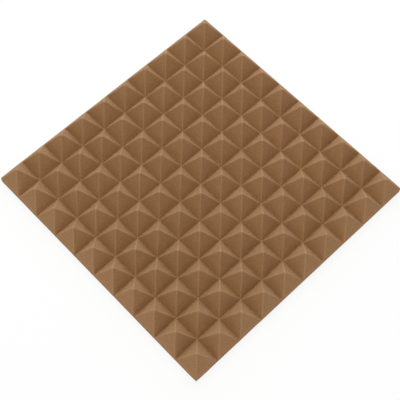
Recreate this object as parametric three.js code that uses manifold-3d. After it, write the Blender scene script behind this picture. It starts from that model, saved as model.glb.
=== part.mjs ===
// Acoustic foam tile: a square slab of open-cell foam whose front is cut into a field of pyramids.
// Millimetres, +Z up. The flat back lies on Z = 0 with its middle at the origin, the pyramids point
// along +Z and the sides run along X and Y. The tile is one piece of foam, so it is one mesh.

import * as THREE from "three";
import { mergeGeometries, mergeVertices } from "three/addons/utils/BufferGeometryUtils.js";
import Module from "manifold-3d";

// Driving dimensions

const pyramidsPerSide = 10;
const pitch = 50; // from one tip to the next, along X and along Y
const baseThickness = 11; // solid foam between the back and the valleys
const pyramidHeight = 39; // from the valleys to the tips
const valleyWidth = 0.8; // flat strip that the cut leaves between two pyramids
const tipRadius = 2.5; // round of a pyramid's tip, seen from the side
const ridgeRadius = 1.2; // round of its four ridges, in a level section
const cornerRadius = 2; // round of the tile's four upright corners

// Facets in each quarter round, and in the round from a flank to the top of a tip

const ridgeFacets = 2;
const cornerFacets = 4;
const tipFacets = 3;

// Sizes that follow

const tileSide = pyramidsPerSide * pitch;
const footHalfWidth = (pitch - valleyWidth) / 2;
const rootDepth = baseThickness / 2; // how far a pyramid runs on into the base, where the two are one
const squareCorners = 4;
const quarterTurn = Math.PI / 2;
const middle = new THREE.Vector2(); // of the tile, and of a pyramid's own sections

const foam = new THREE.MeshStandardMaterial({
  name: "foam",
  color: 0x8c6a48,
  roughness: 1,
  metalness: 0,
});

// Points of a level square section with round corners, counted anticlockwise from above. Where the
// square is narrower than its own rounds, near a tip, it is a circle.
function levelSection(halfWidth, height) {
  const radius = Math.min(ridgeRadius, halfWidth);
  const section = [];
  for (let corner = 0; corner < squareCorners; corner++) {
    for (let facet = 0; facet <= ridgeFacets; facet++) {
      const turn = (facet / ridgeFacets) * quarterTurn;
      const point = new THREE.Vector2(Math.cos(turn), Math.sin(turn));
      point.multiplyScalar(radius).addScalar(halfWidth - radius);
      point.rotateAround(middle, corner * quarterTurn);
      section.push(new THREE.Vector3(point.x, point.y, height));
    }
  }
  return section;
}

// The level sections of one pyramid, from its root up, where Z = 0 is the valley floor. The root goes
// straight down, and each flank is the straight line from the foot that touches the tip's round.
function pyramidSections() {
  const roundCentre = pyramidHeight - tipRadius;
  const reach = Math.hypot(footHalfWidth, roundCentre);
  const flankAngle = Math.atan2(roundCentre, footHalfWidth) + Math.asin(tipRadius / reach);
  const sections = [levelSection(footHalfWidth, -rootDepth), levelSection(footHalfWidth, 0)];
  for (let facet = 0; facet < tipFacets; facet++) {
    const fromTop = flankAngle * (1 - facet / tipFacets);
    const halfWidth = tipRadius * Math.sin(fromTop);
    sections.push(levelSection(halfWidth, roundCentre + tipRadius * Math.cos(fromTop)));
  }
  return sections;
}

// Triangles between two sections, and between a section and the point that closes a loft's end.
function wallBetween(lower, upper) {
  return lower.flatMap((corner, i) => {
    const next = (i + 1) % lower.length;
    return [corner, lower[next], upper[next], corner, upper[next], upper[i]];
  });
}

function endOver(section, point) {
  return section.flatMap((corner, i) => [corner, section[(i + 1) % section.length], point]);
}

function pyramidSolid() {
  const sections = pyramidSections();
  const rootMiddle = new THREE.Vector3(0, 0, -rootDepth);
  const tip = new THREE.Vector3(0, 0, pyramidHeight);
  const corners = endOver(sections[0].toReversed(), rootMiddle);
  for (let level = 1; level < sections.length; level++) {
    corners.push(...wallBetween(sections[level - 1], sections[level]));
  }
  corners.push(...endOver(sections.at(-1), tip));
  return new THREE.BufferGeometry().setFromPoints(corners);
}

// The front of the tile: one pyramid, repeated along X and Y. The copies don't touch, because a
// strip of valley floor lies between them.
function pyramidField() {
  const pyramid = pyramidSolid();
  const firstTip = (pitch - tileSide) / 2;
  const copies = [];
  for (let row = 0; row < pyramidsPerSide; row++) {
    for (let column = 0; column < pyramidsPerSide; column++) {
      const copy = pyramid.clone();
      copies.push(copy.translate(firstTip + column * pitch, firstTip + row * pitch, baseThickness));
    }
  }
  return mergeGeometries(copies);
}

// The flat base: a square with round corners, extruded from the back up to the valleys.
function baseSlab() {
  const cornerCentre = tileSide / 2 - cornerRadius;
  const outline = new THREE.Shape();
  for (let corner = 0; corner < squareCorners; corner++) {
    const start = corner * quarterTurn;
    const centre = new THREE.Vector2(cornerCentre, cornerCentre).rotateAround(middle, start);
    outline.absarc(centre.x, centre.y, cornerRadius, start, start + quarterTurn);
  }
  return new THREE.ExtrudeGeometry(outline, {
    depth: baseThickness,
    bevelEnabled: false,
    curveSegments: cornerFacets,
  });
}

const wasm = await Module();
wasm.setup();

function solidOf(geometry) {
  const bare = geometry.clone();
  bare.deleteAttribute("normal");
  bare.deleteAttribute("uv");
  const merged = mergeVertices(bare);
  const vertProperties = new Float32Array(merged.attributes.position.array);
  const triVerts = new Uint32Array(merged.index.array);
  return new wasm.Manifold(new wasm.Mesh({ numProp: 3, vertProperties, triVerts }));
}

function geometryOf(solid) {
  const mesh = solid.getMesh();
  const geometry = new THREE.BufferGeometry();
  geometry.setAttribute("position", new THREE.BufferAttribute(mesh.vertProperties, mesh.numProp));
  geometry.setIndex(new THREE.BufferAttribute(mesh.triVerts, 1));
  const flatShaded = geometry.toNonIndexed();
  flatShaded.computeVertexNormals();
  return flatShaded;
}

function foamTile() {
  const tile = new THREE.Mesh(geometryOf(solidOf(baseSlab()).add(solidOf(pyramidField()))), foam);
  tile.name = "foam_tile";
  return tile;
}

const panel = new THREE.Group();
panel.name = "acoustic_foam_panel";
panel.add(foamTile());

export default panel;
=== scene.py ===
"""The looks of the acoustic foam tile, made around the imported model. Lengths are in metres.

The tile's own solid has flat facets. Its stand-in here is one closed mesh of the same foam: the flanks,
ridges and tips of every pyramid with the softness of cut foam, the sawn sides and the back.
"""

import math

import bpy
import numpy as np
from mathutils import Matrix, Vector, noise


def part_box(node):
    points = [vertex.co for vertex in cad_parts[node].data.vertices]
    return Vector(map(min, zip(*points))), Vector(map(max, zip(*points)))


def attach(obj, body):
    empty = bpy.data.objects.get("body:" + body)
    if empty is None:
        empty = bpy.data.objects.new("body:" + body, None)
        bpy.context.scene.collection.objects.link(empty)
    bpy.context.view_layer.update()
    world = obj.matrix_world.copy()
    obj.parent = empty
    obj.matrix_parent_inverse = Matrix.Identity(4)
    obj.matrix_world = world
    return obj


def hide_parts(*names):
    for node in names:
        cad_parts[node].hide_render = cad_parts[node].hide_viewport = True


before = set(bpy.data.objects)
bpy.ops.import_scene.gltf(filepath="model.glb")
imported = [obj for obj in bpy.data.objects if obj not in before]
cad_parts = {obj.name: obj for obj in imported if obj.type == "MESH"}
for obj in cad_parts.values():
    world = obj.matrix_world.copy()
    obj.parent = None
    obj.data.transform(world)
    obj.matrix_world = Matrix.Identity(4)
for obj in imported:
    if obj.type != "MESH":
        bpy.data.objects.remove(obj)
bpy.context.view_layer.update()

MM = 0.001
FOAM_NODE = "foam_tile"
LOW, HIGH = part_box(FOAM_NODE)

# The tile
PYRAMIDS_PER_SIDE = 10
HALF_SIDE = (HIGH.x - LOW.x) / 2
PITCH = 2 * HALF_SIDE / PYRAMIDS_PER_SIDE
BASE_THICKNESS = 11 * MM
PYRAMID_HEIGHT = HIGH.z - LOW.z - BASE_THICKNESS
TIP_RADIUS = 2.5 * MM
RIDGE_RADIUS = 1 * MM
RIDGE_SHARE = 0.9  # of a section's half width, the most that its rounds take up near the tip
VALLEY_RADIUS = 0.3 * MM
SIDE_CUT = 2 * MM  # how far inside the last valley the -X and -Y sides are cut
SIDE_SPARE = 0.5 * MM  # how far past the last valley the +X and +Y sides are cut
CORNER_RADIUS = 2 * MM
ARRIS = 0.4 * MM  # width of the crisp edge between the front and a side
BACK_ROUND = 0.8 * MM  # the soft arris between a side and the back
WELD = 0.01 * MM  # points that lie closer than this are one
PLACE_DIGITS = 7  # to which places along a side are rounded, to tell them apart

# Steps round a pyramid's level sections, up its flanks and down the tile's sides. The shares of a flat
# start and end close to its rounds, so that these shade crisply.
RIDGE_STEPS = 4
FLAT_SHARES = (0.03, 0.25, 0.5, 0.75, 0.97)
VALLEY_STEPS = 3
FLANK_SHARES = (0.02, 0.12, 0.25, 0.38, 0.5, 0.62, 0.75, 0.88, 0.97)
TIP_STEPS = 4
SIDE_STEPS = 5
ROUND_STEPS = 3

# How far cut foam strays from its ideal shape
TIP_LEAN = 0.3 * MM
TIP_LOSS = 0.4 * MM
WAVE = 0.2 * MM
WAVE_LENGTH = 25 * MM
RANDOM_SEED = 7

# The painted highlight, a paler colour where the light catches the ridges, the tips and the rim: how much of
# it shows, and where it has faded out, counted in ridge radii, tip radii and rim widths. The rim is the line
# where the front meets a side.
RIDGE_HIGHLIGHT, RIDGE_HIGHLIGHT_END = 0.4, 1.4
TIP_HIGHLIGHT, TIP_HIGHLIGHT_END = 0.5, 1.5
RIM_HIGHLIGHT, RIM_HIGHLIGHT_END = 0.45, 1.2
RIM_WIDTH = 1 * MM
RIDGE_HIGHLIGHT_RISE = 12  # how fast the ridges' painted highlight sets in above the valleys, per pyramid height
RIDGE_HIGHLIGHT_LOW, RIDGE_HIGHLIGHT_HIGH = 0.8, 1.2  # the ridges' painted highlight: its shares at the valleys and at the tips
UPPER_SHARE = 0.5  # of a pyramid's height, above which a point can belong to its tip

# The foam's colours: slow patches, the factors of its pores and cell walls, and the painted highlight on the
# ridges, tips and rim
PATCH_COLOURS = ((0.405, 0.232, 0.1135), (0.425, 0.243, 0.1185))
SPECK_FACTORS = ((0.83, 0.79, 0.72), (1.12, 1.14, 1.19))
# the paler colour painted on the ridges, tips and rim as a highlight
PAINTED_HIGHLIGHT_COLOUR = (0.50, 0.31, 0.19)
RAMP_ENDS = (0.3, 0.7)  # the values of a noise at which a ramp has its first and its last colour

# The foam's texture: how many features a metre holds, how fine they go, and how deep they look
PATCH_SCALE, PATCH_DETAIL = 9, 3
GRAIN_SCALE, GRAIN_DETAIL, GRAIN_ROUGHNESS = 420, 4, 0.65
PORE_SCALE = 1300
GRAIN_DEPTH, GRAIN_STRENGTH = 0.8 * MM, 0.4
PORE_DEPTH, PORE_STRENGTH = 0.4 * MM, 0.5

# The photograph's camera, from a fit to all the valleys, ridges and tips
CAMERA_PLACE = Vector((-0.539461, -0.531231, 1.522752))
CAMERA_RIGHT = Vector((0.722441, -0.691292, 0.013920))
CAMERA_AHEAD = Vector((0.308362, 0.304107, -0.901351))
SENSOR_MM = 36
LENS_MM = 86.507

# The lamps: name, azimuth from +X towards +Y and elevation in degrees, sides, watts and tint
LAMPS = (
    ("far", 45, 42, (2.4, 2.4), 41.2, (0.943, 1.0, 1.28)),
    ("near", 225, 30, (4.5, 2.4), 18.4, (1.122, 0.91, 0.968)),
    ("overhead", 90, 78, (3.0, 2.4), 34.1, (0.96, 1.0, 0.741)),
)
LAMP_DISTANCE = 2.75
ROOM_LIGHT = 0.3  # strength of the even white light from the world

# The floor
WHITE = (1, 1, 1, 1)
FLOOR_REACH = 6
FLOOR_GAP = 0.2 * MM
FLOOR_BOUNCE = (0.92, 0.92, 0.92, 1)  # the colour with which it lights the tile
SHADOW_SHARE = 0.15  # of the light that the floor shows, the part that the tile's shadow takes away from
SHADOW_REACH = 1.2  # how far from the tile's middle that share has faded out


def turned(corner, x, y):
    """The point (x, y) after that many quarter turns round +Z."""
    for _ in range(corner):
        x, y = -y, x
    return x, y


def level_section(half_width, sharp=False):
    """Points round a square with round corners, or the same points pushed out onto the sharp square."""
    radius = min(RIDGE_RADIUS, RIDGE_SHARE * half_width)
    centre = half_width - radius
    points = []
    for corner in range(4):
        for step in range(RIDGE_STEPS + 1):
            angle = step / RIDGE_STEPS * math.pi / 2
            reach = radius / max(math.cos(angle), math.sin(angle)) if sharp else radius
            points.append(turned(corner, centre + reach * math.cos(angle), centre + reach * math.sin(angle)))
        for share in FLAT_SHARES:
            points.append(turned(corner, centre * (1 - 2 * share), half_width))
    return np.array(points)


def flank():
    """(half width, height) up a pyramid: the valley's round, the straight flank, the tip's round."""
    run, rise = PITCH / 2, PYRAMID_HEIGHT - TIP_RADIUS - VALLEY_RADIUS
    slope = math.atan2(rise, run) + math.asin((TIP_RADIUS + VALLEY_RADIUS) / math.hypot(run, rise))
    profile = []
    for step in range(VALLEY_STEPS + 1):
        angle = slope * step / VALLEY_STEPS
        profile.append((run - VALLEY_RADIUS * math.sin(angle), VALLEY_RADIUS * (1 - math.cos(angle))))
    start = np.array(profile[-1])
    tip_centre = PYRAMID_HEIGHT - TIP_RADIUS
    end = np.array((TIP_RADIUS * math.sin(slope), tip_centre + TIP_RADIUS * math.cos(slope)))
    profile += [tuple(start + (end - start) * share) for share in FLANK_SHARES]
    for step in range(TIP_STEPS):
        angle = slope * (1 - step / TIP_STEPS)
        profile.append((TIP_RADIUS * math.sin(angle), tip_centre + TIP_RADIUS * math.cos(angle)))
    return profile


def with_cut(profile):
    """The same flank with points where the sides that are cut short cross it, and just inside them."""
    widths, heights = np.array(profile).T
    crossings = PITCH / 2 - SIDE_CUT - np.array((0, ARRIS))
    added = zip(crossings.tolist(), np.interp(crossings, widths[::-1], heights[::-1]).tolist())
    return sorted([*profile, *added], reverse=True)


def pyramid():
    """Points and faces of one cell of the field, with its own middle as origin and the valley at 0."""
    rings = []
    for half_width, height in with_cut(flank()):
        ring = level_section(half_width, sharp=not rings)
        rings.append(np.column_stack([ring, np.full(len(ring), height)]))
    count = len(rings[0])
    faces = []
    for level in range(len(rings) - 1):
        for i in range(count):
            a, b = level * count + i, level * count + (i + 1) % count
            faces.append((a, b, b + count, a + count))
    last, tip = (len(rings) - 1) * count, len(rings) * count
    faces += [(last + i, last + (i + 1) % count, tip) for i in range(count)]
    return np.vstack([*rings, [(0, 0, PYRAMID_HEIGHT)]]), faces


def side_places():
    """Where the field's points lie along a side of the tile."""
    cell = level_section(PITCH / 2, sharp=True)
    on_side = cell[np.isclose(cell[:, 0], PITCH / 2), 1]
    middles = (np.arange(PYRAMIDS_PER_SIDE) + 0.5) * PITCH - HALF_SIDE
    return np.unique(np.round(middles[:, None] + on_side, PLACE_DIGITS))


def side_levels():
    """Heights down a side, with the round to the back at their end."""
    straight = [BASE_THICKNESS, *np.linspace(BASE_THICKNESS - ARRIS, BACK_ROUND, SIDE_STEPS)]
    angles = np.linspace(0, math.pi / 2, ROUND_STEPS + 1)[1:]
    return [*straight, *(BACK_ROUND * (1 - np.sin(angles)))]


def grid_faces(rows, columns, flip=False):
    faces = []
    for i in range(rows - 1):
        for j in range(columns - 1):
            a = i * columns + j
            face = (a, a + 1, a + columns + 1, a + columns)
            faces.append(face[::-1] if flip else face)
    return faces


def tile_parts():
    """(points, faces) of the pyramids, the four sides and the back, which meet point to point."""
    random = np.random.default_rng(RANDOM_SEED)
    points, faces = pyramid()
    share = np.clip(points[:, 2] / PYRAMID_HEIGHT, 0, 1)
    for row in range(PYRAMIDS_PER_SIDE):
        for column in range(PYRAMIDS_PER_SIDE):
            lean = random.normal(0, TIP_LEAN, 2)
            loss = random.uniform(0, TIP_LOSS)
            moved = points.copy()
            moved[:, :2] += lean * share[:, None] ** 2
            moved[:, 2] -= loss * share
            moved += ((column + 0.5) * PITCH - HALF_SIDE, (row + 0.5) * PITCH - HALF_SIDE, BASE_THICKNESS)
            yield moved, faces
    along = side_places()
    levels = side_levels()
    for corner in range(4):
        side = [(*turned(corner, HALF_SIDE, y), z) for z in levels for y in along]
        yield np.array(side), grid_faces(len(levels), len(along), flip=True)
    back = [(x, y, 0) for x in along for y in along]
    yield np.array(back), grid_faces(len(along), len(along))


def welded(parts):
    """One list of points and faces, with the sides cut and the points in the same place joined."""
    points, faces, count = [], [], 0
    for some, those in parts:
        points.append(some)
        faces += [[i + count for i in face] for face in those]
        count += len(some)
    points = np.vstack(points)
    points[:, :2] = np.maximum(points[:, :2], SIDE_CUT - HALF_SIDE)
    points[:, :2] += SIDE_SPARE * (points[:, :2] > HALF_SIDE - WELD)
    keys = np.round(points / WELD).astype(np.int64)
    _, first, place = np.unique(keys, axis=0, return_index=True, return_inverse=True)
    place = place.ravel().tolist()
    joined = (list(dict.fromkeys(place[i] for i in face)) for face in faces)
    return points[first], [face for face in joined if len(face) > 2]


def round_outline(points):
    """Rounds the tile's four upright corners and the arris between its sides and its back."""
    middle, half = (SIDE_SPARE + SIDE_CUT) / 2, HALF_SIDE + (SIDE_SPARE - SIDE_CUT) / 2
    own = points[:, :2] - middle
    beyond = np.maximum(np.abs(own) - (half - CORNER_RADIUS), 0)
    far = np.hypot(beyond[:, 0], beyond[:, 1])
    both = (beyond > 0).all(1)
    shrink = np.where(both, beyond.max(1) / np.where(both, far, 1), 1)
    drawn_in = np.sign(own) * (half - CORNER_RADIUS + beyond * shrink[:, None])
    own = np.where(both[:, None], drawn_in, own)
    over = np.clip(1 - points[:, 2] / BACK_ROUND, 0, 1)
    inset = BACK_ROUND * (1 - np.sqrt(1 - over ** 2))
    points[:, :2] = middle + own * (1 - inset / half)[:, None]


def soften(points):
    """Moves the points in slow waves, as cut foam strays, but keeps the back flat."""
    noise.seed_set(RANDOM_SEED)
    drift = np.array([noise.noise_vector(Vector(p) / WAVE_LENGTH) for p in points])
    drift[:, 2] *= np.clip(points[:, 2] / BASE_THICKNESS, 0, 1)
    points += WAVE * drift


def fading(distance, end):
    """1 near a painted highlight, then down to 0 at `end`, over one unit of the distance."""
    return np.clip(end - distance, 0, 1)


def painted_highlight_share(points):
    """How much painted highlight shows at each point: on the ridges, the tips and the rim, where the light
    catches the foam.
    """
    cell = np.mod(points[:, :2] + HALF_SIDE, PITCH) - PITCH / 2
    off_ridge = np.abs(np.abs(cell[:, 0]) - np.abs(cell[:, 1])) / math.sqrt(2)
    height = np.clip((points[:, 2] - BASE_THICKNESS) / PYRAMID_HEIGHT, 0, 1)
    ridge = fading(off_ridge / RIDGE_RADIUS, RIDGE_HIGHLIGHT_END) * np.clip(height * RIDGE_HIGHLIGHT_RISE, 0, 1)
    ridge *= RIDGE_HIGHLIGHT_LOW + (RIDGE_HIGHLIGHT_HIGH - RIDGE_HIGHLIGHT_LOW) * height
    tip = fading(np.abs(cell).max(1) / TIP_RADIUS, TIP_HIGHLIGHT_END) * (height > UPPER_SHARE)
    outer = np.minimum(HALF_SIDE + SIDE_SPARE - points[:, :2], points[:, :2] + HALF_SIDE - SIDE_CUT).min(1)
    below = BASE_THICKNESS - points[:, 2]
    rim = fading(outer / RIM_WIDTH, RIM_HIGHLIGHT_END) * fading(below / RIM_WIDTH, 1)
    return np.maximum.reduce([RIDGE_HIGHLIGHT * ridge, TIP_HIGHLIGHT * tip, RIM_HIGHLIGHT * rim])


def foam_mesh():
    points, faces = welded(tile_parts())
    # the share of painted highlight at each point, on the ridges, tips and rim
    painted_light = painted_highlight_share(points)
    round_outline(points)
    soften(points)
    mesh = bpy.data.meshes.new("foam_tile_cut")
    mesh.from_pydata(points.tolist(), [], faces)
    mesh.shade_smooth()
    # the painted highlight on the ridges, tips and rim, kept as a share at each point
    painted_highlight = mesh.attributes.new("painted_highlight", "FLOAT", "POINT")
    painted_highlight.data.foreach_set("value", painted_light.astype(np.float32))
    return mesh


class Nodes:
    """A node tree that is written as calls: each node is added with its settings and inputs."""

    def __init__(self, owner):
        owner.use_nodes = True
        self.data = owner
        self.tree = owner.node_tree
        self.tree.nodes.clear()

    def node(self, kind, inputs=(), **settings):
        made = self.tree.nodes.new(kind)
        for name, value in settings.items():
            setattr(made, name, value)
        for name, value in dict(inputs).items():
            if isinstance(value, bpy.types.NodeSocket):
                self.tree.links.new(value, made.inputs[name])
            else:
                made.inputs[name].default_value = value
        return made

    def ramp(self, factor, colours):
        """From the first colour to the last between the ends that all ramps share."""
        made = self.node("ShaderNodeValToRGB", {"Fac": factor})
        for stop, place, colour in zip(made.color_ramp.elements, RAMP_ENDS, colours):
            stop.position = place
            stop.color = (*colour, 1)
        return made.outputs["Color"]

    def mix(self, factor, first, second, blend="MIX"):
        """A mix of two colours. Its sockets go by number, because the node has others of the same names."""
        made = self.node("ShaderNodeMix", {0: factor}, data_type="RGBA", blend_type=blend)
        for socket, colour in ((made.inputs[6], first), (made.inputs[7], second)):
            if isinstance(colour, bpy.types.NodeSocket):
                self.tree.links.new(colour, socket)
            else:
                socket.default_value = (*colour, 1)
        return made.outputs[2]

    def output(self, shader):
        self.node("ShaderNodeOutputMaterial", {"Surface": shader})
        return self.data


def foam_material():
    """Matt open-cell foam: slow patches, a grain of pores and cell walls, pits, and a paler painted
    highlight on the ridges, tips and rim.
    """
    m = Nodes(bpy.data.materials.new("foam"))
    place = m.node("ShaderNodeTexCoord").outputs["Object"]
    patches = m.node("ShaderNodeTexNoise", {
        "Vector": place, "Scale": PATCH_SCALE, "Detail": PATCH_DETAIL})
    grain = m.node("ShaderNodeTexNoise", {
        "Vector": place, "Scale": GRAIN_SCALE, "Detail": GRAIN_DETAIL, "Roughness": GRAIN_ROUGHNESS})
    pores = m.node("ShaderNodeTexVoronoi", {"Vector": place, "Scale": PORE_SCALE}, feature="F1")
    body = m.ramp(patches.outputs["Fac"], PATCH_COLOURS)
    speck = m.ramp(grain.outputs["Fac"], SPECK_FACTORS)
    grained = m.mix(1.0, body, speck, "MULTIPLY")
    # the paler colour painted where the light catches the ridges, tips and rim
    painted_highlight = m.node("ShaderNodeAttribute", attribute_name="painted_highlight").outputs["Fac"]
    painted_light = m.mix(painted_highlight, grained, PAINTED_HIGHLIGHT_COLOUR)
    pits = m.node("ShaderNodeBump", {
        "Height": pores.outputs["Distance"], "Strength": PORE_STRENGTH, "Distance": PORE_DEPTH})
    bump = m.node("ShaderNodeBump", {
        "Height": grain.outputs["Fac"], "Strength": GRAIN_STRENGTH, "Distance": GRAIN_DEPTH,
        "Normal": pits.outputs["Normal"]})
    shader = m.node("ShaderNodeBsdfPrincipled", {
        "Base Color": painted_light, "Roughness": 1.0, "Specular IOR Level": 0.1, "Normal": bump.outputs["Normal"]})
    return m.output(shader.outputs["BSDF"])


def foam_tile():
    tile = bpy.data.objects.new("foam_tile_cut", foam_mesh())
    bpy.context.collection.objects.link(tile)
    tile.data.materials.append(foam_material())
    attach(tile, "root")
    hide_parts(FOAM_NODE)


def seen(m):
    """1 for the rays that show a surface to the camera, straight or through gloss or glass, else 0."""
    rays = m.node("ShaderNodeLightPath").outputs
    either = m.node("ShaderNodeMath", {
        0: rays["Is Camera Ray"], 1: rays["Is Glossy Ray"]}, operation="MAXIMUM")
    any_of_them = m.node("ShaderNodeMath", {
        0: either.outputs[0], 1: rays["Is Transmission Ray"]}, operation="MAXIMUM")
    return any_of_them.outputs[0]


def floor():
    """A pale floor that looks white to the camera, with a faint share of the tile's own shadow."""
    mesh = bpy.data.meshes.new("floor")
    corners = [(*turned(corner, -FLOOR_REACH, -FLOOR_REACH), 0) for corner in range(4)]
    mesh.from_pydata(corners, [], [(0, 1, 2, 3)])
    ground = bpy.data.objects.new("floor", mesh)
    bpy.context.collection.objects.link(ground)
    ground.location.z = -FLOOR_GAP
    m = Nodes(bpy.data.materials.new("floor"))
    white = m.node("ShaderNodeEmission", {"Color": WHITE, "Strength": 1.0}).outputs[0]
    bright = m.node("ShaderNodeBsdfDiffuse", {"Color": WHITE}).outputs[0]
    matt = m.node("ShaderNodeBsdfDiffuse", {"Color": FLOOR_BOUNCE}).outputs[0]
    place = m.node("ShaderNodeTexCoord").outputs["Object"]
    away = m.node("ShaderNodeVectorMath", {0: place}, operation="LENGTH").outputs["Value"]
    share = m.node("ShaderNodeMapRange", {
        "Value": away, "From Min": SHADOW_REACH / 2, "From Max": SHADOW_REACH,
        "To Min": SHADOW_SHARE, "To Max": 0.0}).outputs["Result"]
    shaded = m.node("ShaderNodeMixShader", {0: share, 1: white, 2: bright}).outputs[0]
    shown = m.node("ShaderNodeMixShader", {0: seen(m), 1: matt, 2: shaded}).outputs[0]
    ground.data.materials.append(m.output(shown))


def softbox(name, azimuth, elevation, size, watts, tint):
    """A rectangular lamp that faces the tile."""
    around, up = math.radians(azimuth), math.radians(elevation)
    place = Vector((math.cos(around) * math.cos(up), math.sin(around) * math.cos(up), math.sin(up)))
    data = bpy.data.lights.new(name, "AREA")
    data.shape = "RECTANGLE"
    data.size, data.size_y = size
    data.energy = watts
    data.color = tint
    lamp = bpy.data.objects.new(name, data)
    bpy.context.collection.objects.link(lamp)
    lamp.location = LAMP_DISTANCE * place
    lamp.rotation_euler = (-place).to_track_quat("-Z", "Y").to_euler()


def room():
    """A white world that the camera sees as it is, and that fills the tile's shadows more weakly."""
    world = bpy.data.worlds.new("studio")
    bpy.context.scene.world = world
    m = Nodes(world)
    white = m.node("ShaderNodeBackground", {"Color": WHITE, "Strength": 1.0}).outputs[0]
    fill = m.node("ShaderNodeBackground", {"Color": WHITE, "Strength": ROOM_LIGHT}).outputs[0]
    shown = m.node("ShaderNodeMixShader", {0: seen(m), 1: fill, 2: white}).outputs[0]
    m.node("ShaderNodeOutputWorld", {"Surface": shown})


def camera():
    data = bpy.data.cameras.new("camera")
    data.sensor_width = SENSOR_MM
    data.lens = LENS_MM
    eye = bpy.data.objects.new("camera", data)
    bpy.context.collection.objects.link(eye)
    right = CAMERA_RIGHT.normalized()
    back = -CAMERA_AHEAD.normalized()
    up = back.cross(right).normalized()
    turn = Matrix((right, up, right.cross(up))).transposed()
    eye.matrix_world = Matrix.Translation(CAMERA_PLACE) @ turn.to_4x4()
    bpy.context.scene.camera = eye


foam_tile()
floor()
for lamp in LAMPS:
    softbox(*lamp)
room()
camera()
bpy.context.scene.view_settings.view_transform = "Standard"
